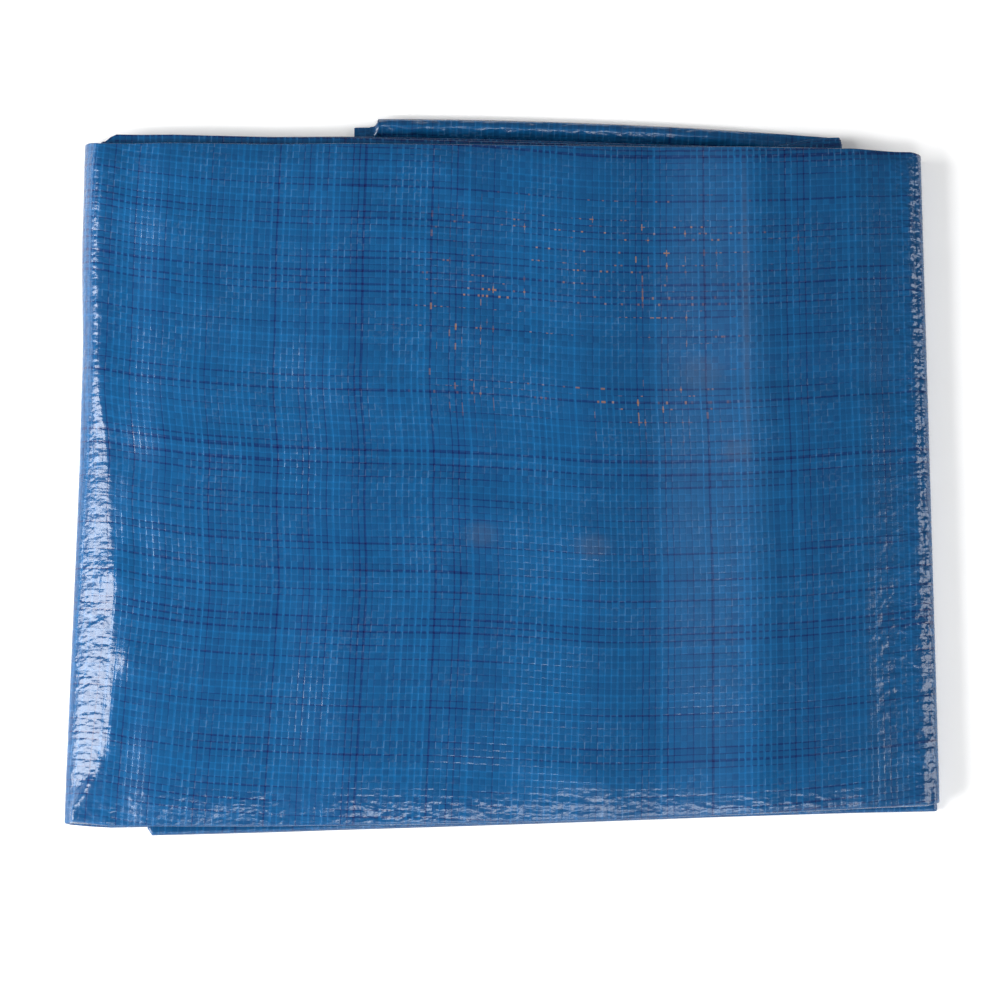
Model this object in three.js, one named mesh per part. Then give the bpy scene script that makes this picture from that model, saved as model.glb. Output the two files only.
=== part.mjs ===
// A folded tarp: a woven sheet is pleated into a strip, and the strip is folded back and forth into a pack.
// Millimetres, Z up. X runs along the strip and Y across it. The origin is under the middle of the pack.
import * as THREE from 'three';

// The strip of eight sheets, pressed together
const STRIP_THICK = 2.0;
const LAYER_PITCH = 2.6;
const PLAIN_EDGES = { back: 150, front: -150 };
const TURN_STEPS = 7;
const ROLL_STEPS = 10;

// Ends and turns in order along the strip, from the hem end inside the pack
// x: outermost point halfway across; lean: shift of x at the back edge; reach: depth of the curve along x
// steps: segments of the curve, none for an end; back and front: the edges of the strip there
const TURNS = [
  { name: 'inner hem', x: -60, lean: 0, reach: 0, steps: 0, back: 159.5, front: -141 },
  { name: 'flap turn', x: 152, lean: 0, reach: 1.3, steps: TURN_STEPS, back: 150.5, front: -149.5 },
  { name: 'front corner turn', x: -152, lean: 1, reach: 1.3, steps: TURN_STEPS, back: 141, front: -159.5 },
  { name: 'lower right turn', x: 184.5, lean: -4, reach: 1.3, steps: TURN_STEPS, back: 139.5, front: -149 },
  { name: 'left roll', x: -185.5, lean: 3, reach: 12, steps: ROLL_STEPS, back: 144, front: -156 },
  { name: 'upper right turn', x: 186.8, lean: -1.2, reach: 4.5, steps: ROLL_STEPS, back: 140.8, front: -148 },
  { name: 'back corner turn', x: -175, lean: -1, reach: 1.3, steps: TURN_STEPS, back: 149.5, front: -150.5 },
  { name: 'upper inner turn', x: 180, lean: 0, reach: 1.3, steps: TURN_STEPS, back: 140, front: -146.5 },
  { name: 'upper hem', x: -158, lean: 0, reach: 0, steps: 0, back: 142.5, front: -153 },
];

// Panels between those turns. level: place in the pile, from the bottom
// swing: share of the panel in which its back edge moves over to the next turn; bow: bulge of an edge midway
const PANELS = [
  { level: 1, swing: 1, backBow: 2.2, frontBow: 0 },
  { level: 2, swing: 0.2, backBow: 0, frontBow: -0.6 },
  { level: 3, swing: 1, backBow: 0, frontBow: 0 },
  { level: 0, swing: 1, backBow: 0, frontBow: 0 },
  { level: 7, swing: 1, backBow: -0.4, frontBow: -3 },
  { level: 4, swing: 1, backBow: 0.6, frontBow: 0 },
  { level: 5, swing: 1, backBow: -1, frontBow: 1 },
  { level: 6, swing: 1, backBow: 0, frontBow: 0 },
];

// Sections of the pile along X. puff: share by which the layers lie looser there
const SECTIONS = [
  { x: -166, puff: 0 },
  { x: -146, puff: 0.02 },
  { x: -105, puff: 0.03 },
  { x: -90, puff: 0.04 },
  { x: -76, puff: 0.05 },
  { x: -63, puff: 0.05 },
  { x: -12, puff: 0.06 },
  { x: 36, puff: 0.05 },
  { x: 66, puff: 0.01 },
  { x: 88, puff: 0.06 },
  { x: 108, puff: 0.1 },
  { x: 128, puff: 0.05 },
  { x: 153, puff: 0.01 },
  { x: 161, puff: 0 },
  { x: 169, puff: 0 },
  { x: 177, puff: 0 },
];

// Where upper layers come down past the end of the layers under them
// from and to: the slope along X; above: first level that sinks; layers: how many layers it sinks by
const SINKS = [
  { from: -63, to: -105, above: 2, layers: 1 },
  { from: 153, to: 177, above: 3, layers: 2 },
  { from: -146, to: -166, above: 4, layers: 0.8 },
];

// Lines along the strip. inset: distance in from an edge; thick: thickness of the strip there
// lipTop and lipUnder: heights of the flap's two faces, where it stands up as a lip
const FRONT_LINES = [
  { inset: 0, thick: 0.9 },
  { inset: 1.5, thick: 1.8 },
  { inset: 6, thick: STRIP_THICK },
];
const BACK_LINES = [
  { inset: 14, thick: STRIP_THICK, lipTop: 4.6, lipUnder: 2.6 },
  { inset: 10.5, thick: STRIP_THICK, lipTop: 5.2, lipUnder: 1.4 },
  { inset: 7, thick: STRIP_THICK, lipTop: 6.4, lipUnder: 0.7 },
  { inset: 4, thick: STRIP_THICK, lipTop: 6.6, lipUnder: 0.5 },
  { inset: 1.5, thick: 1.8, lipTop: 5.2, lipUnder: 0.8 },
  { inset: 0, thick: 0.9, lipTop: 3.2, lipUnder: 1.7 },
];
const MIDDLE_SHARES = [0.25, 0.5, 0.75];

// The flap is the short panel's back edge; its lip is full as far as one place and has died away at the other
const LIP_LEVEL = 1;
const LIP_FULL_X = 50;
const LIP_END_X = 140;

const TARP_COLOUR = 0x24578c;
const TARP_ROUGHNESS = 0.38;

const mix = (a, b, share) => a + (b - a) * share;
const clamp01 = (value) => Math.min(1, Math.max(0, value));
const smooth = (value) => {
  const share = clamp01(value);
  return share * share * (3 - 2 * share);
};

// How many layers a level has sunk by at a place along X
function sunkLayers(level, x) {
  let layers = 0;
  for (const sink of SINKS) {
    if (level >= sink.above) layers += sink.layers * smooth((x - sink.from) / (sink.to - sink.from));
  }
  return layers;
}

// Height of the middle of a layer at one section
function heightAtSection(level, section) {
  const layersUnder = level - sunkLayers(level, section.x);
  return STRIP_THICK / 2 + LAYER_PITCH * layersUnder * (1 + section.puff);
}

// Height of the middle of a layer anywhere, straight from section to section
function layerHeight(level, x) {
  const last = SECTIONS.length - 1;
  if (x <= SECTIONS[0].x) return heightAtSection(level, SECTIONS[0]);
  if (x >= SECTIONS[last].x) return heightAtSection(level, SECTIONS[last]);
  const next = SECTIONS.findIndex((section) => section.x > x);
  const before = SECTIONS[next - 1];
  const after = SECTIONS[next];
  const share = (x - before.x) / (after.x - before.x);
  return mix(heightAtSection(level, before), heightAtSection(level, after), share);
}

// Which way a turn faces along X
function turnSide(index) {
  const other = index === 0 ? TURNS[1] : TURNS[index - 1];
  return Math.sign(TURNS[index].x - other.x);
}

// Where the straight run of a panel meets a turn
function runEnd(index, lean) {
  const turn = TURNS[index];
  const depth = turn.steps > 0 ? STRIP_THICK / 2 + turn.reach : 0;
  return turn.x + turn.lean * lean - turnSide(index) * depth;
}

// Edges of the strip part of the way along a panel
function panelEdges(index, share) {
  const panel = PANELS[index];
  const moved = panel.swing < 1 ? smooth(share / panel.swing) : share;
  const bulge = 4 * share * (1 - share);
  return {
    back: mix(TURNS[index].back, TURNS[index + 1].back, moved) + panel.backBow * bulge,
    front: mix(TURNS[index].front, TURNS[index + 1].front, share) + panel.frontBow * bulge,
  };
}

// Sections on a panel's straight run, clear of the turns at its two ends
function runSections(index) {
  const ends = [TURNS[index], TURNS[index + 1]].sort((one, other) => one.x - other.x);
  const clear = (turn) => turn.reach + Math.abs(turn.lean) + STRIP_THICK;
  const low = ends[0].x + clear(ends[0]);
  const high = ends[1].x - clear(ends[1]);
  return SECTIONS.map((section) => section.x).filter((x) => x > low && x < high);
}

// Points on the middle of the strip from end to end, for one line along it
function stripPath(lean) {
  const path = [];
  PANELS.forEach((panel, index) => {
    const start = runEnd(index, lean);
    const end = runEnd(index + 1, lean);
    const sections = end > start ? runSections(index) : runSections(index).reverse();
    for (const x of [start, ...sections, end]) {
      const edges = panelEdges(index, (x - start) / (end - start));
      path.push({ x, z: layerHeight(panel.level, x), level: panel.level, ...edges });
    }
    const turn = TURNS[index + 1];
    if (turn.steps === 0) return;
    const fromZ = layerHeight(panel.level, end);
    const toZ = layerHeight(PANELS[index + 1].level, end);
    for (let step = 1; step < turn.steps; step += 1) {
      const angle = (Math.PI * step) / turn.steps;
      const x = end + turnSide(index + 1) * turn.reach * Math.sin(angle);
      const z = mix(fromZ, toZ, (1 - Math.cos(angle)) / 2);
      path.push({ x, z, level: panel.level, back: turn.back, front: turn.front });
    }
  });
  return path;
}

// Direction square to the path at one of its points, to the left of its run
function pathNormal(path, index) {
  const before = path[Math.max(0, index - 1)];
  const after = path[Math.min(path.length - 1, index + 1)];
  const run = Math.hypot(after.x - before.x, after.z - before.z);
  return { x: -(after.z - before.z) / run, z: (after.x - before.x) / run };
}

// Lines across the strip, from its front edge to its back edge
function linesAcross() {
  const first = FRONT_LINES[FRONT_LINES.length - 1];
  const last = BACK_LINES[0];
  const middles = MIDDLE_SHARES.map((share) => ({
    thick: STRIP_THICK,
    place: (edges) => mix(edges.front + first.inset, edges.back - last.inset, share),
  }));
  const fronts = FRONT_LINES.map((line) => ({ ...line, place: (edges) => edges.front + line.inset }));
  const backs = BACK_LINES.map((line) => ({ ...line, place: (edges) => edges.back - line.inset }));
  return [...fronts, ...middles, ...backs];
}

// How much of the lip stands at a point of the path
function lipShare(point) {
  if (point.level !== LIP_LEVEL) return 0;
  return smooth((LIP_END_X - point.x) / (LIP_END_X - LIP_FULL_X));
}

// The closed strip: two faces, the two pleated edges and the two hem ends
function stripGeometry() {
  const lines = linesAcross();
  const paths = lines.map((line) => stripPath(line.place(PLAIN_EDGES) / PLAIN_EDGES.back));
  const count = paths[0].length;
  const positions = [];
  lines.forEach((line, across) => {
    const path = paths[across];
    path.forEach((point, index) => {
      const normal = pathNormal(path, index);
      const half = line.thick / 2;
      const y = line.place(point);
      let overZ = point.z + normal.z * half;
      let underZ = point.z - normal.z * half;
      if (line.lipTop !== undefined) {
        overZ = mix(overZ, line.lipTop, lipShare(point));
        underZ = mix(underZ, line.lipUnder, lipShare(point));
      }
      positions.push(point.x + normal.x * half, y, overZ);
      positions.push(point.x - normal.x * half, y, underZ);
    });
  });

  const over = (index, across) => 2 * (across * count + index);
  const under = (index, across) => over(index, across) + 1;
  const triangles = [];
  const quad = (a, b, c, d) => triangles.push(a, b, c, a, c, d);
  const lastAcross = lines.length - 1;
  const lastIndex = count - 1;
  for (let i = 0; i < lastIndex; i += 1) {
    for (let j = 0; j < lastAcross; j += 1) {
      quad(over(i, j), over(i + 1, j), over(i + 1, j + 1), over(i, j + 1));
      quad(under(i, j), under(i, j + 1), under(i + 1, j + 1), under(i + 1, j));
    }
    quad(under(i, 0), under(i + 1, 0), over(i + 1, 0), over(i, 0));
    quad(over(i, lastAcross), over(i + 1, lastAcross), under(i + 1, lastAcross), under(i, lastAcross));
  }
  for (let j = 0; j < lastAcross; j += 1) {
    quad(over(0, j), over(0, j + 1), under(0, j + 1), under(0, j));
    quad(under(lastIndex, j), under(lastIndex, j + 1), over(lastIndex, j + 1), over(lastIndex, j));
  }

  const geometry = new THREE.BufferGeometry();
  geometry.setAttribute('position', new THREE.Float32BufferAttribute(positions, 3));
  geometry.setIndex(triangles);
  geometry.computeVertexNormals();
  return geometry;
}

const cloth = new THREE.MeshStandardMaterial({
  color: TARP_COLOUR,
  roughness: TARP_ROUGHNESS,
  metalness: 0,
});

const tarp = new THREE.Mesh(stripGeometry(), cloth);
tarp.name = 'tarp';

const pack = new THREE.Group();
pack.name = 'folded_tarp';
pack.add(tarp);

export default pack;
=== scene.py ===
"""Looks of a folded tarp: one woven sheet, pleated into a strip that is folded back and forth into a pack."""

import math

import bpy
import numpy as np
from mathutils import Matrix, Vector


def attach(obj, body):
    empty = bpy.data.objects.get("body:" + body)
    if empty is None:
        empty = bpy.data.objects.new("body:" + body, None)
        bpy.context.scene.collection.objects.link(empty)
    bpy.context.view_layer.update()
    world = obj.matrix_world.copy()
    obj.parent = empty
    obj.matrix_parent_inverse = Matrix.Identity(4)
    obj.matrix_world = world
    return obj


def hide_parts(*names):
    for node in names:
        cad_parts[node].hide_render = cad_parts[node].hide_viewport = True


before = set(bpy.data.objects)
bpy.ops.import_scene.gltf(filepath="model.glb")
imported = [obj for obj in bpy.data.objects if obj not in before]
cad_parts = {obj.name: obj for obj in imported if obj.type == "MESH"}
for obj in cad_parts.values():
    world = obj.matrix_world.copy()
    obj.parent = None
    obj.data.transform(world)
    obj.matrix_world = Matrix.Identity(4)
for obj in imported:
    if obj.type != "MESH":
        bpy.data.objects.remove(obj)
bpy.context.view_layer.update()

MM = 0.001

# The strip, in millimetres: eight sheets lie a little apart in each of its layers
STRIP_THICK = 2.0
LAYER_PITCH = 2.6
SHEET_GAP = 0.24
HALF_WIDTH = 150.0

# Ends and turns of the strip in order, from the hem end inside the pack
TURN_KEYS = ("x", "lean", "reach", "back", "front")
TURNS = [
    dict(zip(TURN_KEYS, row))
    for row in (
        (-60.0, 0.0, 0.0, 159.5, -141.0),
        (152.0, 0.0, 1.3, 150.5, -149.5),
        (-152.0, 1.0, 1.3, 141.0, -159.5),
        (184.5, -4.0, 1.3, 139.5, -149.0),
        (-185.8, 3.0, 12.0, 145.4, -156.0),
        (187.3, -1.2, 4.5, 141.4, -147.2),
        (-177.6, -1.0, 1.3, 151.0, -150.5),
        (180.0, 0.0, 1.3, 140.0, -146.5),
        (-158.0, 0.0, 0.0, 142.5, -153.0),
    )
]

# Panels between those turns
PANEL_KEYS = ("level", "swing", "back_bow", "front_bow")
PANELS = [
    dict(zip(PANEL_KEYS, row))
    for row in (
        (1, 1.0, 2.2, 0.0),
        (2, 0.2, 0.0, -0.6),
        (3, 1.0, 0.0, 0.0),
        (0, 1.0, 0.0, 0.0),
        (7, 1.0, -0.4, -3.0),
        (4, 1.0, 1.6, 0.0),
        (5, 1.0, 0.4, 1.0),
        (6, 1.0, 0.0, 0.0),
    )
]
FLAP, UNDER, TOP = 0, 3, 4

# How loosely the pile lies along X, and where upper layers come down past the end of those under them
PUFF_X = (-166, -146, -105, -63, -12, 36, 66, 88, 108, 128, 153, 161)
PUFF = (0.0, 0.02, 0.03, 0.05, 0.06, 0.05, 0.01, 0.06, 0.10, 0.05, 0.01, 0.0)
SINK_KEYS = ("start", "stop", "above", "layers")
SINKS = [
    dict(zip(SINK_KEYS, row))
    for row in ((-63, -105, 2, 1.0), (153, 177, 3, 2.0), (-146, -166, 4, 0.8))
]
EDGE_DROOP = 0.05
EDGE_DROOP_WIDTH = 14.0

# The flap's lip, by distance in from its back edge
LIP_INSET = (0.0, 0.9, 3.8, 6.2, 7.9, 9.5, 12.0, 15.0)
LIP_TOP = (4.4, 6.2, 7.2, 6.0, 1.8, 1.2, 1.4, 3.4)
LIP_UNDER = (2.6, 1.2, 0.5, 0.4, 0.3, 0.3, 0.4, 1.4)
LIP_FULL_X, LIP_END_X = 85.0, 148.0
LIP_DEPTH, LIP_FADE = 17.0, 4.0
# The lip's crest: its place and half width, its lumps (height, width, seed), and how they grow to the left
CREST_INSET, CREST_WIDTH = 5.4, 2.4
CREST_LUMPS = ((0.8, 5.5, 8), (0.6, 2.3, 9))
CREST_GROWTH = (0.6, 1.2)
CREST_GROWTH_X, CREST_GROWTH_WIDTH = 10.0, 60.0
CREST_UPPER_SHARE = 0.6
# The ends of its sheets, rolled up beyond its squared left end
END_X, END_SOFT = -55.0, 1.2
END_LOW, END_TOP = 0.4, 4.2
END_LUMPS = (1.3, 3.2, 10)
END_DRAW_IN, END_DRAW_FADE = 2.3, 8.0

# Sheets across the strip: the place of each in the strip's thickness, in order along the sheet
SHEET_PLACES = (0, 7, 4, 3, 2, 5, 6, 1)
OUTER = 1
# Distance in from the strip's edge of the pleat after each sheet, and of the hem at both ends
PLEAT_INSETS = (0.0, 0.0, 2.4, 1.1, 1.6, 1.0, 0.8)
HEM_INSETS = (3.0, 2.2)
PLEAT_ROUND = 1.25


def mix(a, b, share):
    return a + (b - a) * share


def smooth(value):
    share = np.clip(value, 0.0, 1.0)
    return share * share * (3.0 - 2.0 * share)


def curve(x, knots, values):
    """Soft steps from value to value."""
    knots = np.asarray(knots, float)
    values = np.asarray(values, float)
    after = np.clip(np.searchsorted(knots, x), 1, len(knots) - 1)
    share = (x - knots[after - 1]) / (knots[after] - knots[after - 1])
    return mix(values[after - 1], values[after], smooth(share))


def spline(x, values):
    """A smooth curve through values that stand evenly from 0 to 1."""
    values = np.asarray(values, float)
    last = len(values) - 1
    at = min(max(x, 0.0), 1.0) * last
    i = min(int(at), last - 1)
    t = at - i
    v0, v1, v2, v3 = (values[min(max(k, 0), last)] for k in range(i - 1, i + 3))
    return v1 + 0.5 * t * (v2 - v0 + t * (2 * v0 - 5 * v1 + 4 * v2 - v3 + t * (3 * (v1 - v2) + v3 - v0)))


def lumps(x, y, cell, seed):
    """Soft random lumps between -1 and 1, about one cell across."""
    size = 64
    grid = np.random.default_rng(seed).uniform(-1.0, 1.0, (size, size))
    u, v = x / cell, y / cell
    i, j = np.floor(u).astype(int), np.floor(v).astype(int)
    a, b = smooth(u - i), smooth(v - j)
    low = mix(grid[i % size, j % size], grid[(i + 1) % size, j % size], a)
    high = mix(grid[i % size, (j + 1) % size], grid[(i + 1) % size, (j + 1) % size], a)
    return mix(low, high, b)


def layer_height(level, x, y):
    """Height of the middle of a layer of the strip."""
    sunk = sum(
        s["layers"] * smooth((x - s["start"]) / (s["stop"] - s["start"]))
        for s in SINKS
        if level >= s["above"]
    )
    edge = 1.0 - smooth((HALF_WIDTH + 2.0 - np.abs(y)) / EDGE_DROOP_WIDTH)
    loose = 1.0 + curve(x, PUFF_X, PUFF) - EDGE_DROOP * edge
    return STRIP_THICK / 2 + LAYER_PITCH * (level - sunk) * loose


# The roll at the left: how far it reaches out by Y, and its outline as shares of that reach and of its height
ROLL = 4
ROLL_Y = (-150, -60, -5, 45, 150)
ROLL_REACH = (19.0, 19.0, 14.0, 8.0, 7.0)
ROLL_OUT = (0.0, 0.45, 0.72, 0.92, 1.0, 0.93, 0.80, 0.62, 0.42, 0.22, 0.0)
ROLL_UP = (0.0, 0.0, 0.02, 0.11, 0.28, 0.45, 0.58, 0.71, 0.83, 0.93, 1.0)
# How far the roll's edge lies out from a straight line, by Y
ROLL_BOW_Y = (-150, 0, 40, 110, 150)
ROLL_BOW = (0.0, 0.3, -0.2, -2.6, -3.2)


def turn_reach(index, y):
    if index == ROLL:
        return curve(y, ROLL_Y, ROLL_REACH)
    return TURNS[index]["reach"]


def turn_side(index):
    other = TURNS[1] if index == 0 else TURNS[index - 1]
    return math.copysign(1.0, TURNS[index]["x"] - other["x"])


def run_end(index, y):
    """Where a panel's straight run meets a turn."""
    turn = TURNS[index]
    depth = STRIP_THICK / 2 + turn_reach(index, y) if turn["reach"] else 0.0
    bow = curve(y, ROLL_BOW_Y, ROLL_BOW) if index == ROLL else 0.0
    return turn["x"] + turn["lean"] * y / HALF_WIDTH + bow - turn_side(index) * depth


def turn_outline(index, share):
    """How far out and up a turn's outline has come, as shares."""
    if index != ROLL:
        return math.sin(math.pi * share), (1.0 - math.cos(math.pi * share)) / 2
    return spline(share, ROLL_OUT), spline(share, ROLL_UP)


def path_point(station, y):
    """Middle of the strip at a station, for points across it."""
    kind, index, share = station
    if kind == "run":
        x = mix(run_end(index, y), run_end(index + 1, y), share)
        return x, layer_height(PANELS[index]["level"], x, y)
    x = run_end(index, y)
    start = layer_height(PANELS[index - 1]["level"], x, y)
    stop = layer_height(PANELS[index]["level"], x, y)
    out, up = turn_outline(index, share)
    return x + turn_side(index) * turn_reach(index, y) * out, mix(start, stop, up)


def path_normal(station, y):
    """Square to the strip at a station, to the left of its run."""
    kind, index, share = station
    step = 0.002
    x0, z0 = path_point((kind, index, max(share - step, 0.0)), y)
    x1, z1 = path_point((kind, index, min(share + step, 1.0)), y)
    run = np.hypot(x1 - x0, z1 - z0)
    return (z0 - z1) / run, (x1 - x0) / run


def edges_at(station):
    """Front and back edges of the strip at a station."""
    kind, index, share = station
    if kind == "turn":
        return TURNS[index]["front"], TURNS[index]["back"]
    panel = PANELS[index]
    moved = smooth(share / panel["swing"]) if panel["swing"] < 1 else share
    bulge = 4.0 * share * (1.0 - share)
    front = mix(TURNS[index]["front"], TURNS[index + 1]["front"], share)
    back = mix(TURNS[index]["back"], TURNS[index + 1]["back"], moved)
    return front + panel["front_bow"] * bulge, back + panel["back_bow"] * bulge


def place_of(sheet):
    """Offset of a sheet from the strip's middle."""
    return (SHEET_PLACES[sheet] - 3.5) * SHEET_GAP


def pleat_reach(pleat):
    return PLEAT_ROUND * abs(place_of(pleat) - place_of(pleat + 1)) / 2


def sheet_ends(sheet):
    """How far a sheet's flat part stays in from the strip's front and back edges."""
    front = sheet if sheet % 2 == 0 else sheet - 1
    back = sheet - 1 if sheet % 2 == 0 else sheet
    front_inset = PLEAT_INSETS[front] + pleat_reach(front)
    if back < 0:
        return front_inset, HEM_INSETS[0]
    if back >= len(PLEAT_INSETS):
        return front_inset, HEM_INSETS[1]
    return front_inset, PLEAT_INSETS[back] + pleat_reach(back)


# Shifts of the sheets' ends at the inner hem, and how far in from it they reach
HEM_SHIFTS = (-5.5, 5.0, 4.0, -4.0, -6.0, 1.0, 3.0, -3.0)
HEM_SHIFT_SHARE = 0.14

# Rounding of the strip's corners where it turns: how far its front and back edges draw in
BACK_CORNER = 6
TURN_DRAW_IN = {2: (2.4, 0.0), ROLL: (1.5, -1.4), ROLL + 1: (1.2, 0.8)}
CORNER_CUT = 3.4
CORNER_CUT_SHARE = 0.011

# Creases of the top sheet: from, to, half width and height of a soft ridge or trough
CREASE_KEYS = ("x0", "y0", "x1", "y1", "width", "height")
CREASES = [
    dict(zip(CREASE_KEYS, row))
    for row in (
        (-75, 117, -31, 99, 9, 0.35),
        (-27, 134, -9, 115, 6, 0.25),
        (0, 123, 39, 101, 14, 0.25),
        (-31, 75, 43, 61, 8, -0.28),
        (8, 44, 39, 30, 14, 0.25),
        (-66, 13, -22, -1, 10, -0.35),
        (-22, -14, 39, -34, 9, 0.4),
        (-68, -29, -44, -43, 9, -0.35),
        (-9, -45, 52, -76, 10, -0.28),
        (83, 42, 166, 36, 7, -0.4),
        (83, 88, 105, 57, 12, 0.3),
        (-171, 119, -136, 104, 10, 0.4),
        (-162, -8, -165, -48, 7, 0.7),
        (-165, -48, -160, -84, 9, 0.75),
        (-160, -84, -166, -116, 7, 0.6),
        (172, -150, 175, -48, 9, 0.5),
        (170, -30, 174, 56, 10, 0.4),
        (174, 74, 171, 138, 9, 0.5),
        (-136, 57, -88, 30, 14, -0.32),
        (-163, 17, -114, 8, 8, 0.3),
        (13, -129, 43, -138, 7, 0.3),
        (-27, -134, 0, -133, 6, -0.25),
    )
]
SKIN_LIFT = 0.9
CREASE_SCALE = 2.0
SKIN_FADE = 9.0
# Its soft lumps: height, width and seed
SKIN_LUMPS = ((0.30, 19.0, 3), (0.10, 7.0, 4))
# Where it comes down to the sheet below, at its front and back edges and at the right
SKIN_MIDDLE_Y, SKIN_INSET, SKIN_EDGE_SHARE = -6.0, 3.0, 0.3
SKIN_RIGHT_X = 187.5
# Share of the roll's outline where it starts to lift, and over which it does
SKIN_ROLL_START, SKIN_ROLL_OVER = 0.3, 0.6


def skin_lift(x, y):
    """How far the top sheet stands off the sheet below."""
    lift = np.full(np.shape(x), SKIN_LIFT)
    for c in CREASES:
        run = np.array((c["x1"] - c["x0"], c["y1"] - c["y0"]), float)
        share = np.clip(((x - c["x0"]) * run[0] + (y - c["y0"]) * run[1]) / (run @ run), 0.0, 1.0)
        away = np.hypot(x - c["x0"] - share * run[0], y - c["y0"] - share * run[1])
        lift = lift + CREASE_SCALE * c["height"] * np.exp(-((away / c["width"]) ** 2))
    for height, cell, seed in SKIN_LUMPS:
        lift = lift + height * lumps(x, y, cell, seed)
    edge = smooth((HALF_WIDTH - SKIN_INSET - np.abs(y - SKIN_MIDDLE_Y)) / SKIN_FADE + SKIN_EDGE_SHARE)
    right = smooth((SKIN_RIGHT_X - x) / SKIN_FADE)
    return np.maximum(lift, 0.0) * edge * right


class Across:
    """Spots across the sheet as arrays: place = front * a + back * b + c, with the offset in the strip."""

    def __init__(self, spots):
        rows = [self.terms(spot) for spot in spots]
        self.a, self.b, self.c, self.offset = np.array(rows).T
        self.sheet = np.array([i if k == "sheet" else i + s for k, i, s in spots])
        self.flat = np.array([flat_across(spot) for spot in spots])
        outer = np.abs(self.sheet - OUTER)
        self.outer = np.clip(1.0 - outer, 0.0, 1.0)

    @staticmethod
    def terms(spot):
        kind, index, share = spot
        if kind == "sheet":
            front_inset, back_inset = sheet_ends(index)
            q = share if index % 2 == 1 else 1.0 - share
            return 1.0 - q, q, front_inset * (1.0 - q) - back_inset * q, place_of(index)
        angle = math.pi * share
        offset = mix(place_of(index), place_of(index + 1), (1.0 - math.cos(angle)) / 2)
        inset = PLEAT_INSETS[index] + pleat_reach(index) * (1.0 - math.sin(angle))
        return (1.0, 0.0, inset, offset) if index % 2 == 0 else (0.0, 1.0, -inset, offset)


def flat_lengths_across():
    """Where each sheet and pleat starts on the flat cloth, across it."""
    starts, place = {}, 0.0
    for index in range(len(SHEET_PLACES)):
        starts["sheet", index] = place
        place += 2 * HALF_WIDTH - sum(sheet_ends(index))
        if index + 1 < len(SHEET_PLACES):
            starts["pleat", index] = place
            place += math.pi * abs(place_of(index) - place_of(index + 1)) / 2
    return starts, place


ACROSS_STARTS, SHEET_WIDTH = flat_lengths_across()


def flat_across(spot):
    kind, index, share = spot
    if kind == "sheet":
        return ACROSS_STARTS[kind, index] + share * (2 * HALF_WIDTH - sum(sheet_ends(index)))
    return ACROSS_STARTS[kind, index] + share * math.pi * abs(place_of(index) - place_of(index + 1)) / 2


def flat_lengths_along():
    """Distance along the flat cloth at fine steps of every run and turn."""
    tables, place = {}, 0.0
    middle = np.zeros(1)
    for index in range(len(PANELS)):
        for kind, at in (("run", index), ("turn", index + 1)):
            if kind == "turn" and index + 1 == len(PANELS):
                continue
            shares = np.linspace(0.0, 1.0, 81)
            points = np.array([np.ravel(path_point((kind, at, s), middle)) for s in shares])
            steps = np.hypot(*np.diff(points, axis=0).T)
            tables[kind, at] = (shares, place + np.concatenate(([0.0], np.cumsum(steps))))
            place = tables[kind, at][1][-1]
    return tables, place


ALONG_TABLES, SHEET_LENGTH = flat_lengths_along()


def flat_along(station):
    kind, index, share = station
    return float(np.interp(share, *ALONG_TABLES[kind, index]))


def draw_in(station):
    """How far the strip's edges draw in at a station of a turn."""
    kind, index, share = station
    if index == BACK_CORNER and kind == "turn":
        return 0.0, CORNER_CUT
    if kind == "run" and index in (BACK_CORNER - 1, BACK_CORNER):
        away = 1.0 - share if index < BACK_CORNER else share
        return 0.0, CORNER_CUT * max(0.0, 1.0 - away / CORNER_CUT_SHARE)
    if kind != "turn" or index not in TURN_DRAW_IN:
        return 0.0, 0.0
    front, back = TURN_DRAW_IN[index]
    return front * math.sin(math.pi * share), back * math.sin(math.pi * share)


# The front left corner, where the top sheet lies flat over the roll: from the roll's crease to its edge
CORNER_START, CORNER_STOP = (-168.0, -124.0), (-185.0, -147.0)
CORNER_SLOPE = 0.10
CORNER_SOFT = 5.0
CORNER_EDGE_X, CORNER_EDGE_SOFT = -186.0, 1.6
CORNER_ROLL_START, CORNER_ROLL_OVER = 0.45, 0.1


def corner_flat(x, y):
    """1 where the top sheet lies flat over the roll's front end."""
    (x0, y0), (x1, y1) = CORNER_START, CORNER_STOP
    past = ((x - x0) * (y1 - y0) - (y - y0) * (x1 - x0)) / math.hypot(x1 - x0, y1 - y0)
    return smooth(0.5 - past / CORNER_SOFT) * smooth((x - CORNER_EDGE_X) / CORNER_EDGE_SOFT)


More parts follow.
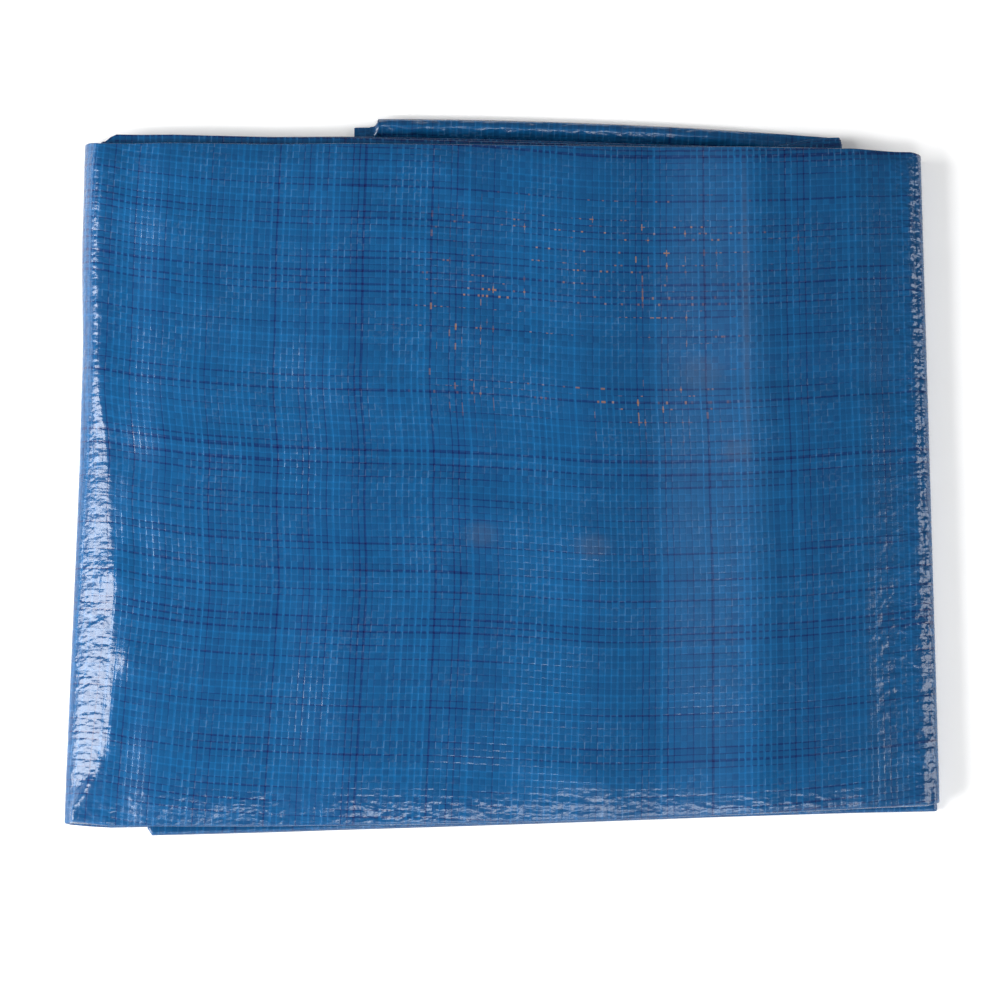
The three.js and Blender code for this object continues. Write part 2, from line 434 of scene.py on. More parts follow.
def sheet_row(station, across):
    """Points of the sheet at one station, in millimetres."""
    kind, index, share = station
    front, back = edges_at(station)
    front_in, back_in = draw_in(station)
    y = across.a * (front + front_in) + across.b * (back - back_in) + across.c
    x, z = path_point(station, y)
    nx, nz = path_normal(station, y)
    offset = across.offset.copy()
    on_top = (kind, index) == ("run", TOP)
    on_roll = (kind, index) == ("turn", ROLL)
    if on_top or on_roll:
        shown = 1.0 if on_top else smooth((share - SKIN_ROLL_START) / SKIN_ROLL_OVER)
        offset = offset + across.outer * skin_lift(x, y) * shown
    px, pz = x + nx * offset, z + nz * offset
    if on_roll:
        weight = corner_flat(px, y) * across.outer * smooth((share - CORNER_ROLL_START) / CORNER_ROLL_OVER)
        level = path_point(("turn", ROLL, 1.0), y)[1] + across.offset + SKIN_LIFT
        pz = mix(pz, level - CORNER_SLOPE * (run_end(ROLL, y) - px), weight)
    if (kind, index) == ("run", FLAP):
        inset = back - y
        through = offset / SHEET_GAP / (len(SHEET_PLACES) - 1) + 0.5
        lip = mix(curve(inset, LIP_INSET, LIP_UNDER), curve(inset, LIP_INSET, LIP_TOP), through)
        growth = mix(*CREST_GROWTH, smooth((CREST_GROWTH_X - x) / CREST_GROWTH_WIDTH))
        crest = np.exp(-(((inset - CREST_INSET) / CREST_WIDTH) ** 2)) * growth
        rough = sum(height * lumps(x, y, cell, seed) for height, cell, seed in CREST_LUMPS)
        lip = lip + crest * rough * smooth(through / CREST_UPPER_SHARE)
        amount = smooth((LIP_END_X - x) / (LIP_END_X - LIP_FULL_X)) * smooth((LIP_DEPTH - inset) / LIP_FADE)
        pz = mix(pz, lip, amount)
        loose = max(0.0, 1.0 - share / HEM_SHIFT_SHARE)
        px = px + np.interp(across.sheet, range(len(HEM_SHIFTS)), HEM_SHIFTS) * loose
        rolled = smooth((END_X - px) / END_SOFT)
        height, cell, seed = END_LUMPS
        ends = mix(END_LOW, END_TOP + height * lumps(px, y, cell, seed), through)
        pz = mix(pz, np.maximum(ends, END_LOW), rolled)
        y = y - END_DRAW_IN * rolled * smooth((LIP_DEPTH - inset) / END_DRAW_FADE)
    return np.stack((px, y, pz), axis=1)


# The woven tapes, in millimetres, and how they run askew to the folds of the top panel
TAPE_ALONG = 2.72
TAPE_ACROSS = 2.95
SKEW_X = (-190, -160, -120, -50, 0, 50, 90, 190)
SKEW = (0.05, 0.05, 0.044, 0.034, 0.024, 0.014, 0.008, 0.006)
FALL_X = (-190, -170, -155, -123, -88, -53, -18, 17, 52, 87, 122, 157, 190)
FALL_DEGREES = (11.0, 10.0, 8.0, 3.2, 3.0, 0.8, 3.5, 5.3, 0.6, -0.2, -3.0, -4.5, -5.5)
SKEW_REACH = 160.0
SWAY = (0.25, 47.0, 11)
TOP_START, TOP_STOP = ALONG_TABLES["run", TOP][1][0], ALONG_TABLES["run", TOP][1][-1]
OUTER_MIDDLE = flat_across(("sheet", OUTER, 0.5))


def fall_table():
    """How far the cross tapes come down along X."""
    x = np.linspace(FALL_X[0], FALL_X[-1], 96)
    slope = np.tan(np.radians(curve(x, FALL_X, FALL_DEGREES)))
    down = np.concatenate(([0.0], np.cumsum((slope[1:] + slope[:-1]) / 2 * np.diff(x))))
    return x, down


FALL = fall_table()


def weave_places(along, flat):
    """Tape counts along and across the sheet."""
    place = np.clip(along, TOP_START, TOP_STOP) - (TOP_START + TOP_STOP) / 2
    skew = np.interp(place, SKEW_X, SKEW) * np.clip(flat - OUTER_MIDDLE, -SKEW_REACH, SKEW_REACH)
    amount, cell, seed = SWAY
    sway = amount * lumps(np.full(np.shape(flat), along), flat, cell, seed)
    return (along - skew) / TAPE_ALONG, (flat + np.interp(place, *FALL) + sway) / TAPE_ACROSS


# Where the film is crumpled. Edges of the top: amount, start and width of the change. A patch: amount, then
# place and half width in X and in Y. Then the least amount
CRUMPLED_RIGHT, CRUMPLED_LEFT = (1.7, 166.0, 14.0), (0.75, -156.0, 14.0)
CRUMPLED_FRONT, CRUMPLED_BACK = (0.8, -136.0, 10.0), (0.6, 134.0, 6.0)
CRUMPLED_PATCH = (1.7, 171.0, 14.0, -74.0, 62.0)
CRUMPLED_LEAST = 0.1
# All over the other pieces
UNDER_CRUMPLED, FLAP_CRUMPLED, FOLDS_CRUMPLED = 0.2, 1.2, 0.5


def past_start(edge, value, way):
    amount, start, width = edge
    return amount * smooth(way * (value - start) / width)


def top_crumple(x, y):
    """Where the top sheet's film is crumpled."""
    amount, patch_x, width, patch_y, height = CRUMPLED_PATCH
    parts = (
        past_start(CRUMPLED_RIGHT, x, 1.0),
        past_start(CRUMPLED_LEFT, x, -1.0),
        past_start(CRUMPLED_FRONT, y, -1.0),
        past_start(CRUMPLED_BACK, y, 1.0),
        amount * np.exp(-(((x - patch_x) / width) ** 2) - ((y - patch_y) / height) ** 2),
        np.full(np.shape(x), CRUMPLED_LEAST),
    )
    return np.max(parts, axis=0)


def make_piece(name, stations, spots, crumple, left_out=None):
    """A grid of the sheet as a mesh, with its tape counts and its flat places as maps."""
    across = Across(spots)
    along = np.array([flat_along(s) for s in stations])
    points = np.stack([sheet_row(s, across) for s in stations])
    rows, cols = points.shape[:2]
    maps = np.zeros((rows, cols, 2))
    for i in range(rows):
        maps[i, :, 0], maps[i, :, 1] = weave_places(along[i], across.flat)
    flats = np.zeros((rows, cols, 2))
    flats[..., 0] = ((along - along.min()) / np.ptp(along))[:, None]
    flats[..., 1] = ((across.flat - across.flat.min()) / np.ptp(across.flat))[None, :]
    i, j = np.meshgrid(np.arange(rows - 1), np.arange(cols - 1), indexing="ij")
    keep = np.ones(i.shape, bool)
    for (r0, r1), (c0, c1) in left_out or ():
        keep &= ~((i >= r0) & (i < r1) & (j >= c0) & (j < c1))
    i, j = i[keep], j[keep]
    quads = np.stack((i * cols + j, (i + 1) * cols + j, (i + 1) * cols + j + 1, i * cols + j + 1), axis=1)
    used, quads = np.unique(quads, return_inverse=True)
    quads = quads.reshape(-1, 4)
    mesh = bpy.data.meshes.new(name)
    mesh.from_pydata((points.reshape(-1, 3)[used] * MM).tolist(), [], quads.tolist())
    for label, values in (("OFBake", flats), ("Weave", maps)):
        layer = mesh.uv_layers.new(name=label)
        layer.data.foreach_set("uv", values.reshape(-1, 2)[used][quads.ravel()].astype(np.float32).ravel())
    places = points.reshape(-1, 3)[used]
    amount = mesh.attributes.new("Crumple", "FLOAT", "POINT")
    amount.data.foreach_set("value", np.asarray(crumple(places[:, 0], places[:, 1]), np.float32))
    mesh.polygons.foreach_set("use_smooth", np.ones(len(mesh.polygons), bool))
    mesh.update()
    piece = bpy.data.objects.new(name, mesh)
    bpy.context.scene.collection.objects.link(piece)
    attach(piece, "root")
    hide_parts("tarp")
    return piece


def evenly(amount):
    return lambda x, y: np.full(np.shape(x), amount)


def steps(count, start=0.0, stop=1.0):
    return [mix(start, stop, k / count) for k in range(count + 1)]


# Stations where the outer sheet of the top is cut from the rest, on the roll and on the right turn
ROLL_CUT = 1 / 12
TURN_CUT = 11 / 12
EDGE_SHARES = (0.0, 0.002, 0.006, 0.015, 0.035)
PLAIN_SHARES = EDGE_SHARES + tuple(steps(10, 0.08, 0.92)) + tuple(1.0 - s for s in reversed(EDGE_SHARES))
FOLD_SHARES = (0.0, 0.007, 0.014, 0.022) + tuple(steps(22, 0.045, 0.955)) + (0.978, 0.986, 0.993, 1.0)
FLAP_SHARES = tuple(steps(10, 0.0, 0.92)) + tuple(steps(22, 0.925, 1.0))
# Steps of the meshes along the strip and across it
ROLL_STEPS, TOP_STEPS, RIGHT_STEPS, UNDER_STEPS, FLAP_STEPS, TURN_STEPS = 30, 210, 18, 40, 110, 12
ACROSS_STEPS, TOP_PLEAT_STEPS, PLEAT_STEPS = 160, 8, 6


def outer_spots(shares, pleat_steps):
    """Spots of the outer sheet with the pleats on both of its edges."""
    spots = [("pleat", OUTER - 1, s) for s in steps(pleat_steps)]
    spots += [("sheet", OUTER, s) for s in shares[1:-1]]
    return spots + [("pleat", OUTER, s) for s in steps(pleat_steps)]


def whole_spots(shares_of, pleat_steps):
    """Spots of all the sheets and pleats."""
    spots = []
    for index in range(len(SHEET_PLACES)):
        spots += [("sheet", index, s) for s in shares_of(index)]
        if index + 1 < len(SHEET_PLACES):
            spots += [("pleat", index, s) for s in steps(pleat_steps)[1:-1]]
    return spots


top_stations = [("turn", ROLL, s) for s in steps(ROLL_STEPS, ROLL_CUT, 1.0)]
top_stations += [("run", TOP, s) for s in steps(TOP_STEPS)[1:]]
top_stations += [("turn", TOP + 1, s) for s in steps(RIGHT_STEPS, 0.0, TURN_CUT)[1:]]
top_spots = outer_spots(steps(ACROSS_STEPS), TOP_PLEAT_STEPS)
top_sheet = make_piece("tarp_top", top_stations, top_spots, top_crumple)

under_stations = [("run", UNDER, s) for s in steps(UNDER_STEPS)] + [("turn", ROLL, ROLL_CUT)]
under_spots = outer_spots(PLAIN_SHARES, PLEAT_STEPS)
under_sheet = make_piece("tarp_underside", under_stations, under_spots, evenly(UNDER_CRUMPLED))

flap_stations = [("run", FLAP, s) for s in steps(FLAP_STEPS)]
flap_shares = {True: FLAP_SHARES, False: tuple(1.0 - s for s in reversed(FLAP_SHARES))}
flap_spots = whole_spots(lambda k: flap_shares[k % 2 == 1], PLEAT_STEPS)
flap = make_piece("tarp_flap", flap_stations, flap_spots, evenly(FLAP_CRUMPLED))

fold_stations = []
for panel_index in range(FLAP, len(PANELS)):
    if panel_index > FLAP:
        fold_stations += [("run", panel_index, s) for s in FOLD_SHARES]
    else:
        fold_stations.append(("run", FLAP, 1.0))
    if panel_index + 1 < len(PANELS):
        fold_stations += [("turn", panel_index + 1, s) for s in steps(TURN_STEPS)[1:-1]]
fold_spots = whole_spots(lambda k: PLAIN_SHARES, PLEAT_STEPS)
outer_cols = (fold_spots.index(("sheet", OUTER - 1, 1.0)), fold_spots.index(("sheet", OUTER + 1, 0.0)))
cut = (
    fold_stations.index(("run", UNDER, 0.0)),
    fold_stations.index(("turn", ROLL, ROLL_CUT)),
    fold_stations.index(("turn", TOP + 1, TURN_CUT)),
)
left_out = [((cut[0], cut[1]), outer_cols), ((cut[1], cut[2]), outer_cols)]
folds = make_piece("tarp_folds", fold_stations, fold_spots, evenly(FOLDS_CRUMPLED), left_out)


class Nodes:
    """A material's node tree, with short calls for the nodes used here."""

    def __init__(self, name):
        self.material = bpy.data.materials.new(name)
        self.material.use_nodes = True
        self.tree = self.material.node_tree
        self.tree.nodes.clear()

    def add(self, kind, inputs=(), **settings):
        node = self.tree.nodes.new(kind)
        for key, value in settings.items():
            setattr(node, key, value)
        for key, value in dict(inputs).items():
            self.put(node.inputs[key], value)
        return node

    def put(self, socket, value):
        if isinstance(value, bpy.types.NodeSocket):
            self.tree.links.new(value, socket)
        else:
            socket.default_value = value

    def math(self, operation, *values, clamp=False):
        node = self.add("ShaderNodeMath", operation=operation, use_clamp=clamp)
        for socket, value in zip(node.inputs, values):
            self.put(socket, value)
        return node.outputs[0]

    def total(self, *values):
        result = values[0]
        for value in values[1:]:
            result = self.math("ADD", result, value)
        return result

    def product(self, *values):
        result = values[0]
        for value in values[1:]:
            result = self.math("MULTIPLY", result, value)
        return result

    def point(self, x, y, z=0.0):
        return self.add("ShaderNodeCombineXYZ", {"X": x, "Y": y, "Z": z}).outputs[0]

    def chance(self, value):
        """A random number for every value."""
        return self.add("ShaderNodeTexWhiteNoise", {"W": value}, noise_dimensions="1D").outputs["Value"]

    def cloud(self, vector, scale, detail=2.0, rough=0.5):
        """Soft noise about zero."""
        inputs = {"Vector": vector, "Scale": scale, "Detail": detail, "Roughness": rough}
        node = self.add("ShaderNodeTexNoise", inputs, noise_dimensions="3D")
        return self.math("SUBTRACT", node.outputs["Fac"], 0.5)

    def ramp(self, value, low, high):
        """0 at low and 1 at high, softly."""
        inputs = {"Value": value, "From Min": low, "From Max": high}
        return self.add("ShaderNodeMapRange", inputs, interpolation_type="SMOOTHSTEP").outputs[0]

    def colours(self, value, stops):
        node = self.add("ShaderNodeValToRGB", {"Fac": value})
        elements = node.color_ramp.elements
        while len(elements) < len(stops):
            elements.new(0.5)
        for element, (place, colour) in zip(elements, stops):
            element.position = place
            element.color = (*colour, 1.0)
        return node.outputs["Color"]

    def blend(self, share, a, b, mode="MIX"):
        node = self.add("ShaderNodeMix", data_type="RGBA", blend_type=mode)
        self.put(node.inputs["Factor"], share)
        for key, value in (("A", a), ("B", b)):
            socket = next(s for s in node.inputs if s.name == key and s.type == "RGBA")
            self.put(socket, (*value, 1.0) if isinstance(value, tuple) else value)
        return next(s for s in node.outputs if s.type == "RGBA")


# Colours of the tape cloth by how many tapes lie one over the other
TAPE_COLOURS = (
    (0.0, (0.003, 0.005, 0.056)),
    (0.25, (0.003, 0.029, 0.114)),
    (0.5, (0.004, 0.061, 0.170)),
    (0.75, (0.005, 0.098, 0.264)),
    (1.0, (0.012, 0.138, 0.350)),
)
RUST = (0.50, 0.23, 0.045)
STAIN = (0.090, 0.075, 0.070)
# Painted sheen: a paler colour, laid on a band of the top where it slopes towards the key light
PAINTED_SHEEN = (0.12, 0.17, 0.24)
# Paler blue for the painted highlight on tape rims and for wear in scuffs
WEAR_AND_HIGHLIGHT_COLOUR = (0.20, 0.27, 0.38)
# The band of the painted sheen: x, y, width and height, in metres
PAINTED_SHEEN_BAND = (0.090, 0.010, 0.026, 0.190)

# How tapes meet: own, grouped, zone and slow changes of the gap between neighbours, as shares of a tape,
# its mean, and the share of tapes that stand well apart
WARP_MEETS = (0.78, 0.45, 0.25, 0.40, -0.20, 0.06)
WEFT_MEETS = (0.62, 0.35, 0.6, 0.8, -0.02, 0.07)
WELL_APART = 0.30
WIDEST_LAP = 0.21
TAPE_SHADE = 0.19
EDGE_SOFT = 0.06
TAPE_EDGE = 0.70
WARP_SEED, WEFT_SEED = 11.0, 57.0
# Cells of noise per tape: groups, own drift along a tape, and zones by count and along
GROUP_CELLS, DRIFT_APART, DRIFT_CELLS = 0.19, 3.7, 0.055
ZONE_CELLS, ZONE_CELLS_ALONG = 0.05, 0.035
# Rise of a tape over its neighbours, softness where they meet, and the painted highlight, a lit rim along one of
# its edges
TAPE_RISE, TAPE_BLEND = 0.8, 0.15
RIM_OUTER, RIM_INNER, WEFT_RIM = 0.19, 0.05, 0.4

# What overlaps and gaps add to the tapes that lie over one another, and how far an overlap hides a weft gap
BASE_TAPES = 2.0
WARP_LAP, WEFT_LAP, WARP_GAP, WEFT_GAP, GAP_HIDDEN = 0.62, 0.45, -1.2, -1.25, -0.9
# Other changes of shade: streaks, tapes, single crossings, haze, and the painted highlight on rims
STREAK_SHADE, OWN_SHADE, CROSSING_SHADE, HAZE_SHADE, RIM_SHADE = 0.06, 0.11, 0.05, 0.10, 0.06
STREAK_CELLS = (6.0, 0.3)
HAZE_SCALE = 16.0
RIM_CHANGE, RIM_MEAN = 1.3, 0.8
# Pale colour in patches: a painted highlight on the rims, and wear in scuffs
RIM_HIGHLIGHT, SCUFF_WEAR = 1.5, 0.6
SCUFF_SCALE, SCUFF_RANGE = 620.0, (0.02, 0.22)
PATCH_SCALE, PATCH_RANGE = 45.0, (-0.12, 0.16)
PATCH_WEAR_AND_HIGHLIGHT, LEAST_WEAR_AND_HIGHLIGHT = 0.10, 0.01
# Strength of the marks and of the painted sheen, and the share of crossings that hold rust
RUST_SHOWN, STAIN_SHOWN, PAINTED_SHEEN_SHOWN = 0.40, 0.16, 0.08
RUST_PICKED = (0.86, 0.97)
# Relief in millimetres: weave with its slow change and its loss where crumpled, overlaps, wrinkles and film
WEAVE_HEIGHT, WEAVE_CHANGE, WEAVE_CRUMPLED, WEAVE_SCALE = 0.075, 0.16, -0.035, 30.0
LAP_HEIGHT, WRINKLE_HEIGHT, FILM_HEIGHT = 0.02, 0.75, 0.008
WRINKLE_SCALE, WRINKLE_STRETCH, WRINKLE_DETAIL, FILM_SCALE = 330.0, 0.55, 1.6, 900.0
ROUGHNESS, HAZE_ROUGH, STREAK_ROUGH, SPECULAR = 0.22, 0.12, 0.05, 0.5


def tape_edges(n, count, along, seed, meets):
    """Masks of the gaps and of the overlaps between neighbouring tapes."""
    own, grouped, zoned, slow, mean, apart = meets
    edge = n.math("ROUND", count)
    away = n.math("ABSOLUTE", n.math("SUBTRACT", count, edge))
    mark = n.math("ADD", edge, seed)
    chance = n.math("SUBTRACT", n.chance(mark), 0.5)
    group = n.cloud(n.point(n.product(mark, GROUP_CELLS), seed), 1.0, 1.0)
    drift = n.cloud(n.point(n.product(mark, DRIFT_APART), n.product(along, DRIFT_CELLS), seed), 1.0, 2.0)
    zone = n.cloud(n.point(n.product(count, ZONE_CELLS), n.product(along, ZONE_CELLS_ALONG), seed), 1.0, 1.0)
    loose = n.product(n.math("LESS_THAN", n.chance(n.math("ADD", mark, 0.43)), apart), WELL_APART)
    gap = n.total(
        n.product(chance, own),
        n.product(group, grouped),
        n.product(zone, zoned),
        n.product(drift, slow),
        loose,
        mean,
    )
    half = n.product(gap, 0.5)
    open_part = n.math("MULTIPLY_ADD", n.math("SUBTRACT", half, away), 1.0 / EDGE_SOFT, 0.5, clamp=True)
    half = n.math("MINIMUM", n.product(gap, -0.5), WIDEST_LAP)
    double_part = n.math("MULTIPLY_ADD", n.math("SUBTRACT", half, away), 1.0 / EDGE_SOFT, 0.5, clamp=True)
    return open_part, double_part


def weave_relief(n, u, v):
    """Height of a plain weave of flat tapes, where the warp is over, and a mask for a painted highlight along one
    edge of each tape.
    """
    fu, fv = n.math("FRACT", u), n.math("FRACT", v)
    cell = n.math("ADD", n.math("FLOOR", u), n.math("FLOOR", v))
    over = n.math("PINGPONG", cell, 1.0)
    sign = n.math("MULTIPLY_ADD", over, 2.0, -1.0)
    bow_u = n.math("SINE", n.product(fu, math.pi))
    bow_v = n.math("SINE", n.product(fv, math.pi))
    flat_u = n.ramp(bow_u, 0.0, TAPE_EDGE)
    flat_v = n.ramp(bow_v, 0.0, TAPE_EDGE)
    warp = n.math("MULTIPLY_ADD", n.product(sign, bow_v), TAPE_RISE, flat_u)
    weft = n.math("MULTIPLY_ADD", n.product(sign, bow_u), -TAPE_RISE, flat_v)
    near_u = n.product(over, n.ramp(fu, RIM_OUTER, RIM_INNER))
    near_v = n.product(n.math("SUBTRACT", 1.0, over), n.ramp(fv, RIM_OUTER, RIM_INNER))
    rim = n.math("MULTIPLY_ADD", near_v, WEFT_RIM, near_u)
    return n.math("SMOOTH_MAX", warp, weft, TAPE_BLEND), over, rim


# Marks on the top, in metres: rust in the gaps, soft stains, and a long thin darker line
RUST_AREAS = (
    (0.045, 0.098, 0.085, 0.026),
    (0.060, 0.045, 0.048, 0.040),
    (-0.004, 0.062, 0.045, 0.045),
)
STAINS = (
    (0.102, 0.006, 0.007, 0.006),
    (0.087, 0.040, 0.010, 0.009),
    (-0.009, -0.031, 0.008, 0.006),
    (0.039, -0.036, 0.009, 0.006),
    # This row is no round stain but a long thin line that darkens the top along x = 106.5 mm
    (0.1065, 0.066, 0.0022, 0.080),
)

# Painted light and shade along X: the top is made lighter or darker in bands where the layers under it tilt it
# towards or away from the key light
PAINTED_SHADING_X = (
    -0.190, -0.150, -0.095, -0.078, -0.060, 0.030, 0.048, 0.064, 0.078, 0.106, 0.113, 0.150, 0.170, 0.190
)
PAINTED_SHADING = (1.04, 1.05, 1.0, 1.02, 1.0, 1.0, 0.91, 0.91, 1.03, 1.04, 0.88, 0.85, 0.88, 0.90)
SPOT_OUTER, SPOT_INNER = 1.25, 0.35


def spot(n, place, area):
    """1 in the middle of a soft ellipse, 0 outside."""
    x, y, width, height = area
    dx = n.math("DIVIDE", n.math("SUBTRACT", place[0], x), width)
    dy = n.math("DIVIDE", n.math("SUBTRACT", place[1], y), height)
    away = n.math("SQRT", n.total(n.product(dx, dx), n.product(dy, dy)))
    return n.ramp(away, SPOT_OUTER, SPOT_INNER)


def painted_shading_along(n, x):
    """The table of painted light and shade as a ramp over X."""
    low, high = PAINTED_SHADING_X[0], PAINTED_SHADING_X[-1]
    share = n.add("ShaderNodeMapRange", {"Value": x, "From Min": low, "From Max": high}).outputs[0]
    stops = [((at - low) / (high - low), (painted_shading / 2,) * 3) for at, painted_shading in zip(PAINTED_SHADING_X, PAINTED_SHADING)]
    return n.product(n.colours(share, stops), 2.0)


def cloth_material(name, marked):
    """The tape cloth, with the marks of the top sheet or without them."""
    n = Nodes(name)
    counts = n.add("ShaderNodeSeparateXYZ", {"Vector": n.add("ShaderNodeUVMap", uv_map="Weave").outputs[0]})
    u, v = counts.outputs["X"], counts.outputs["Y"]
    here = n.add("ShaderNodeTexCoord").outputs["Object"]
    parts = n.add("ShaderNodeSeparateXYZ", {"Vector": here})
    place = (parts.outputs["X"], parts.outputs["Y"])
    crumpled = n.add("ShaderNodeAttribute", attribute_name="Crumple").outputs["Fac"]

    gap_u, lap_u = tape_edges(n, u, v, WARP_SEED, WARP_MEETS)
    gap_v, lap_v = tape_edges(n, v, u, WEFT_SEED, WEFT_MEETS)
    relief, over, rim = weave_relief(n, u, v)
    hidden = n.product(gap_v, n.math("MULTIPLY_ADD", lap_u, GAP_HIDDEN, 1.0))
    tapes = n.total(
        BASE_TAPES,
        n.product(lap_u, WARP_LAP),
        n.product(lap_v, WEFT_LAP),
        n.product(gap_u, WARP_GAP),
        n.product(hidden, WEFT_GAP),
    )
    streak = n.cloud(n.point(n.product(u, STREAK_CELLS[0]), n.product(v, STREAK_CELLS[1])), 1.0, 2.0)
    # The offsets 0.37, 37.3 and 61.7 below only keep one random number apart from another
    own_u = n.math("SUBTRACT", n.chance(n.math("FLOOR", u)), 0.5)
    own_v = n.math("SUBTRACT", n.chance(n.math("ADD", n.math("FLOOR", v), 0.37)), 0.5)
    own = n.math("MULTIPLY_ADD", over, n.math("SUBTRACT", own_u, own_v), own_v)
    brick_mark = n.math("MULTIPLY_ADD", n.math("FLOOR", u), 37.3, n.math("FLOOR", v))
    brick = n.math("SUBTRACT", n.chance(brick_mark), 0.5)
    haze = n.cloud(here, HAZE_SCALE, 2.0)
    # The rim mask carries a painted highlight along one edge of each tape, stronger at some crossings than at
    # others
    rim = n.product(rim, n.math("ADD", n.product(brick, RIM_CHANGE), RIM_MEAN))
    shade = n.total(
        n.product(n.math("SUBTRACT", tapes, BASE_TAPES), TAPE_SHADE),
        0.5,
        n.product(streak, STREAK_SHADE),
        n.product(own, OWN_SHADE),
        n.product(brick, CROSSING_SHADE),
        n.product(haze, HAZE_SHADE),
        n.product(rim, RIM_SHADE),
    )
    colour = n.colours(shade, TAPE_COLOURS)
    scuffs = n.ramp(n.cloud(here, SCUFF_SCALE, 2.0, 0.6), *SCUFF_RANGE)
    patches = n.ramp(n.cloud(here, PATCH_SCALE, 2.0), *PATCH_RANGE)
    # Paler colour in patches: painted highlight on the rims and wear in scuffs
    wear_and_highlight = n.total(n.product(rim, RIM_HIGHLIGHT), n.product(scuffs, SCUFF_WEAR))
    colour = n.blend(n.product(wear_and_highlight, n.math("MULTIPLY_ADD", patches, PATCH_WEAR_AND_HIGHLIGHT, LEAST_WEAR_AND_HIGHLIGHT)), colour, WEAR_AND_HIGHLIGHT_COLOUR)

    if marked:
        # Painted light and shade: the top made lighter or darker in bands along X
        painted_shading = dict.fromkeys(("Red", "Green", "Blue"), painted_shading_along(n, place[0]))
        colour = n.blend(1.0, colour, n.add("ShaderNodeCombineColor", painted_shading).outputs[0], "MULTIPLY")
        thin = n.math("MAXIMUM", gap_u, gap_v)
        crossing = n.math("ADD", n.math("ROUND", n.product(u, 3.0)), n.product(n.math("ROUND", v), 61.7))
        picked = n.ramp(n.chance(crossing), *RUST_PICKED)
        rusty = spot(n, place, RUST_AREAS[0])
        for area in RUST_AREAS[1:]:
            rusty = n.math("MAXIMUM", rusty, spot(n, place, area))
        rust = n.product(thin, picked, rusty)
        colour = n.blend(n.product(rust, RUST_SHOWN), colour, RUST)
        for area in STAINS:
            colour = n.blend(n.product(spot(n, place, area), STAIN_SHOWN), colour, STAIN)
        # Painted sheen: paler colour on a band where the top slopes towards the key light
        colour = n.blend(n.product(spot(n, place, PAINTED_SHEEN_BAND), PAINTED_SHEEN_SHOWN), colour, PAINTED_SHEEN)

    stretch = {"Vector": here, "Scale": (WRINKLE_STRETCH, 1.0, 1.0)}
    wrinkle = n.cloud(n.add("ShaderNodeMapping", stretch).outputs[0], WRINKLE_SCALE, WRINKLE_DETAIL, 0.5)
    taut = n.total(
        n.product(n.cloud(here, WEAVE_SCALE, 1.0), WEAVE_CHANGE), n.product(crumpled, WEAVE_CRUMPLED), WEAVE_HEIGHT
    )
    film = n.cloud(here, FILM_SCALE, 2.0)
    height = n.total(
        n.product(relief, taut),
        n.product(n.math("ADD", lap_u, lap_v), LAP_HEIGHT),
        n.product(wrinkle, crumpled, WRINKLE_HEIGHT),
        n.product(film, FILM_HEIGHT),
    )
    bump = n.add("ShaderNodeBump", {"Strength": 1.0, "Distance": MM, "Height": height})
    rough = n.total(ROUGHNESS, n.product(haze, HAZE_ROUGH), n.product(streak, STREAK_ROUGH))
    shader = n.add(
        "ShaderNodeBsdfPrincipled",
        {"Base Color": colour, "Roughness": rough, "Normal": bump.outputs[0], "Specular IOR Level": SPECULAR},
    )
    out = n.add("ShaderNodeOutputMaterial")
    n.put(out.inputs["Surface"], shader.outputs["BSDF"])
    return n.material


top_cloth = cloth_material("tape_cloth_top", True)
plain_cloth = cloth_material("tape_cloth", False)
top_sheet.data.materials.append(top_cloth)
for piece in (under_sheet, flap, folds):
    piece.data.materials.append(plain_cloth)


# Floor, world, lights and camera
FLOOR_SIZE, FLOOR_PLACE = 6.0, (0.0, 0.0, -0.0004)
FLOOR_TONES = ((0.0, (0.93, 0.93, 0.93)), (1.0, (0.97, 0.97, 0.97)))
FLOOR_SCALE, FLOOR_ROUGH, FLOOR_GLOW = 60.0, 0.9, 0.1
WORLD_LIGHT = 0.12
floor_nodes = Nodes("pale_floor")
floor_spots = floor_nodes.add("ShaderNodeTexCoord").outputs["Object"]
speck = floor_nodes.cloud(floor_spots, FLOOR_SCALE)
pale = floor_nodes.colours(floor_nodes.math("ADD", speck, 0.5), FLOOR_TONES)
floor_shader = floor_nodes.add(
    "ShaderNodeBsdfPrincipled",
    {"Base Color": pale, "Roughness": FLOOR_ROUGH, "Emission Color": pale, "Emission Strength": FLOOR_GLOW},
)
floor_out = floor_nodes.add("ShaderNodeOutputMaterial")
floor_nodes.put(floor_out.inputs["Surface"], floor_shader.outputs["BSDF"])
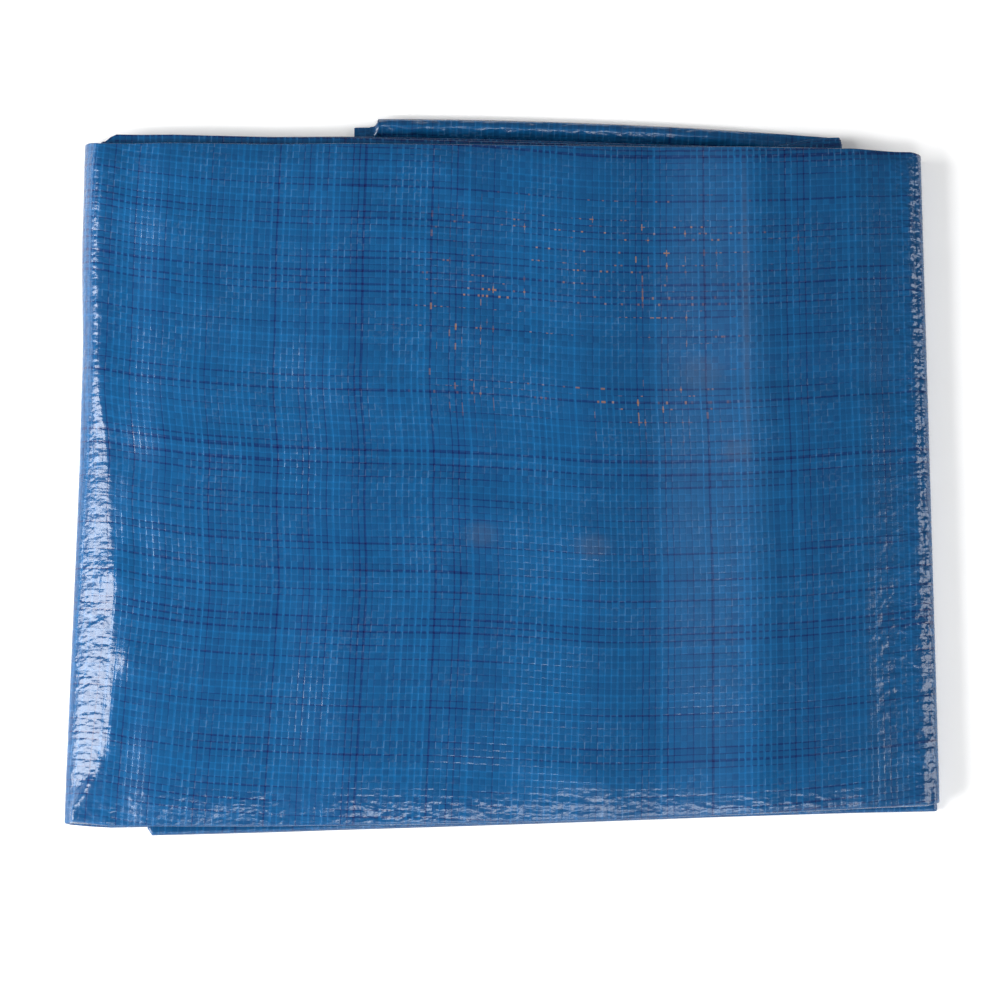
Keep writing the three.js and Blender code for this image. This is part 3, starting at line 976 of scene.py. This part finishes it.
bpy.ops.mesh.primitive_plane_add(size=FLOOR_SIZE, location=FLOOR_PLACE)
floor = bpy.context.object
floor.name = "floor"
floor.data.materials.append(floor_nodes.material)

world = bpy.data.worlds.new("studio")
world.use_nodes = True
backdrop = world.node_tree.nodes["Background"]
backdrop.inputs["Color"].default_value = (1.0, 1.0, 1.0, 1.0)
backdrop.inputs["Strength"].default_value = WORLD_LIGHT
bpy.context.scene.world = world

# Softboxes: place, size and power
LIGHT_KEYS = ("name", "place", "size", "power")
LIGHTS = [
    dict(zip(LIGHT_KEYS, row))
    for row in (
        ("left_box", (-1.62, -0.40, 0.96), (1.44, 1.30), 76.0),
        ("right_box", (1.80, -0.42, 0.86), (1.6, 1.1), 30.0),
        ("front_box", (0.1, -1.8, 1.1), (1.5, 0.7), 8.0),
        ("upper_box", (0.1, -0.95, 1.75), (0.8, 0.3), 8.0),
    )
]
for row in LIGHTS:
    data = bpy.data.lights.new(row["name"], "AREA")
    data.shape = "RECTANGLE"
    data.size, data.size_y = row["size"]
    data.energy = row["power"]
    lamp = bpy.data.objects.new(row["name"], data)
    lamp.location = row["place"]
    lamp.rotation_mode = "QUATERNION"
    lamp.rotation_quaternion = (-Vector(row["place"])).to_track_quat("-Z", "Y")
    bpy.context.scene.collection.objects.link(lamp)

CAMERA_ELEVATION = math.radians(81.0)
CAMERA_AWAY = 1.4
FRAME_WIDTH = 0.4366
AIM = Vector((-0.0008, -0.0139, 0.010))
SENSOR = 36.0
back_way = Vector((0.0, -math.cos(CAMERA_ELEVATION), math.sin(CAMERA_ELEVATION)))
camera_data = bpy.data.cameras.new("camera")
camera_data.sensor_width = SENSOR
camera_data.lens = SENSOR * CAMERA_AWAY / FRAME_WIDTH
camera = bpy.data.objects.new("camera", camera_data)
camera.location = AIM + back_way * CAMERA_AWAY
camera.rotation_mode = "QUATERNION"
camera.rotation_quaternion = (-back_way).to_track_quat("-Z", "Y")
bpy.context.scene.collection.objects.link(camera)
bpy.context.scene.camera = camera
bpy.context.scene.view_settings.view_transform = "Standard"
